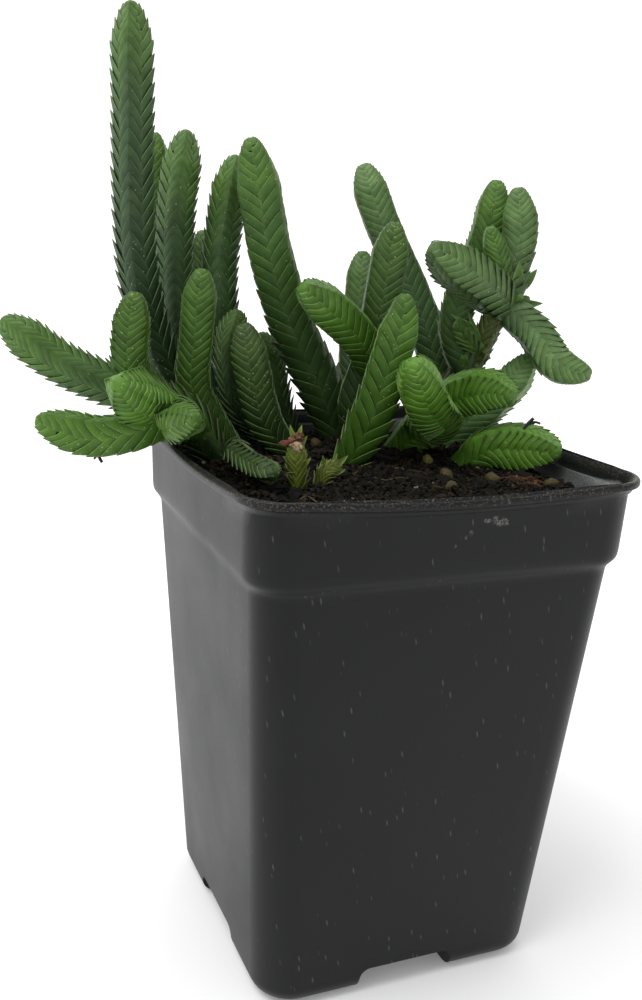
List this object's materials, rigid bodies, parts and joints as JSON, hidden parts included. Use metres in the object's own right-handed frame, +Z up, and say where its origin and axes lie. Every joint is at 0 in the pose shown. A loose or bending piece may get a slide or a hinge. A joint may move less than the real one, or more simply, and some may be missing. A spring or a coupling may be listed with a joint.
{
  "type": "potted watch chain crassula",
  "caption": "Clump of upright and sprawling succulent stems wrapped in overlapping scale leaves, growing in soil in a deep square plastic nursery pot on corner feet.",
  "frame": {"origin": "middle of the whole object's footprint, on the surface that the pot stands on", "axes": "+Z up, +X to the right and +Y to the back, both along the sides of the square pot"},
  "size_m": [0.1353, 0.1095, 0.21],
  "materials": {
    "pot_plastic": "satin",
    "soil_mix": "matte",
    "leaf_dark": "satin",
    "leaf_green": "satin",
    "leaf_bright": "satin"
  },
  "bodies": {
    "root": {"pot": "pot_plastic", "soil": "soil_mix", "spray_centre": "leaf_green", "spray_left": "leaf_green", "spray_right": "leaf_bright", "spray_trunk": "leaf_green", "sprout_flowered": "leaf_bright", "sprout_small": "leaf_bright", "stem_arching": "leaf_green", "stem_centre_back": "leaf_green", "stem_dark": "leaf_dark", "stem_dark_back": "leaf_green", "stem_fallen": "leaf_dark", "stem_front": "leaf_green", "stem_leaning": "leaf_dark", "stem_left_bright": "leaf_bright", "stem_middle": "leaf_green", "stem_middle_left": "leaf_dark", "stem_middle_right": "leaf_dark", "stem_right_back": "leaf_green", "stem_right_low": "leaf_bright", "stem_tall": "leaf_dark", "stem_tall_back": "leaf_dark", "stem_tall_right": "leaf_dark"}
  },
  "joints": []
}
